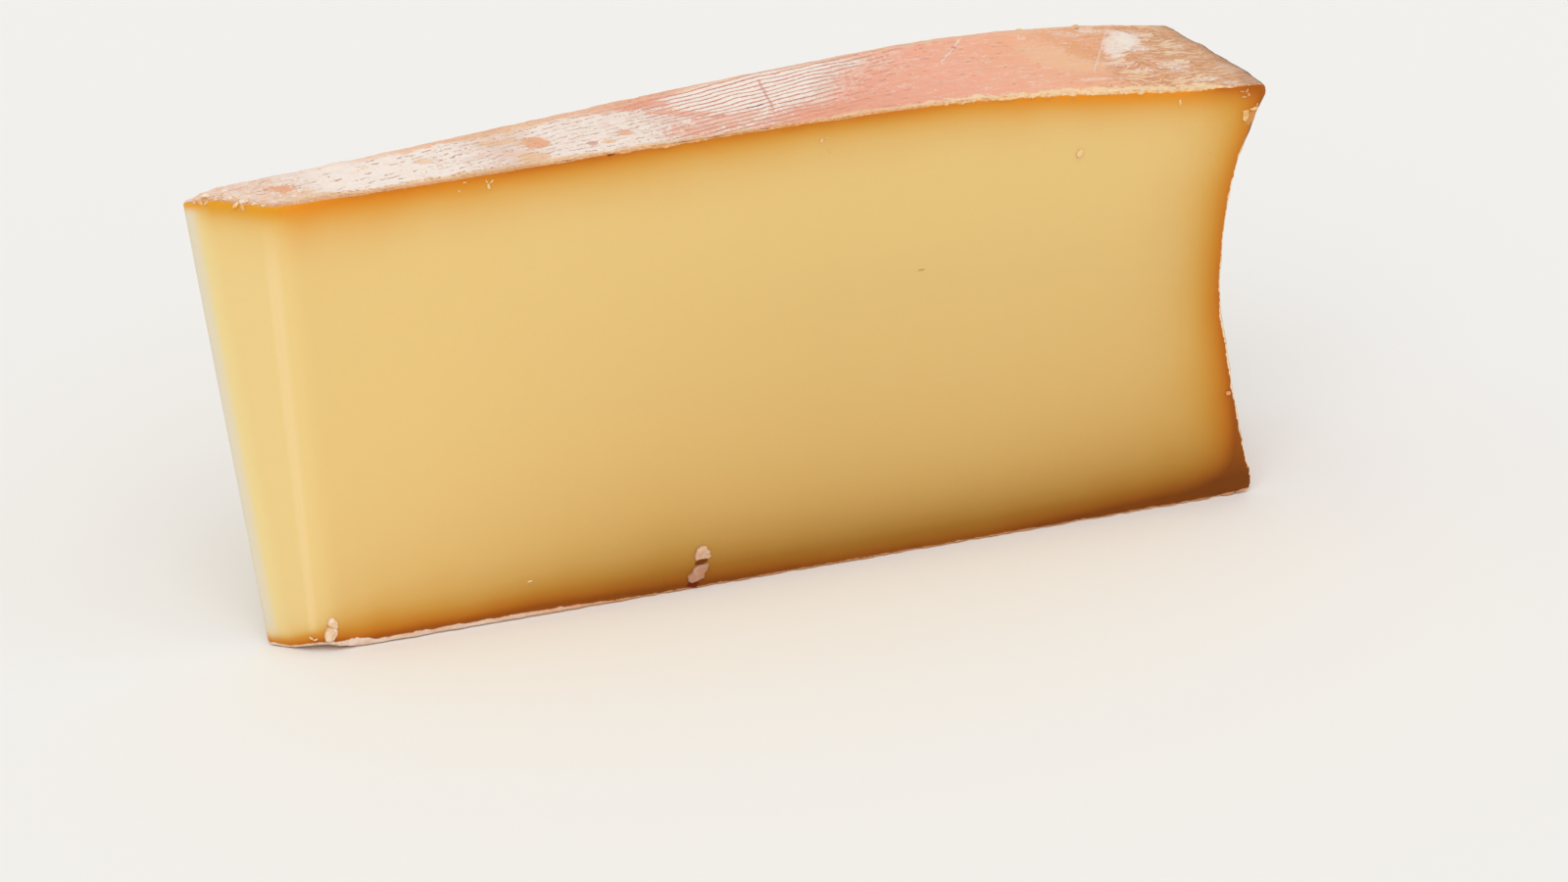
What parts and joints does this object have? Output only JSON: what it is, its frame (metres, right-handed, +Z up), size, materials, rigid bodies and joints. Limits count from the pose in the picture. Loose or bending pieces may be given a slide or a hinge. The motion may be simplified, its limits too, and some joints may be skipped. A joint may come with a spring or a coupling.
{
  "type": "abondance cheese wedge",
  "caption": "Slim upright wedge of semi-hard mountain cheese: pale yellow cut faces, amber under a bloomed pink-brown rind on top, base and hollow heel.",
  "frame": {"origin": "bottom centre of the bounding box, on the surface that the cheese stands on", "axes": "+X from the cut nose to the heel, -Y towards the large front cut face, +Z up"},
  "size_m": [0.1914, 0.0416, 0.0786],
  "materials": {
    "paste": "smooth, slightly waxy cut paste, amber next to the rind",
    "rind": "dry, matte, pink-brown rind with a whitish bloom and cloth marks"
  },
  "bodies": {
    "root": {"cheese_wedge": "paste"}
  },
  "joints": []
}
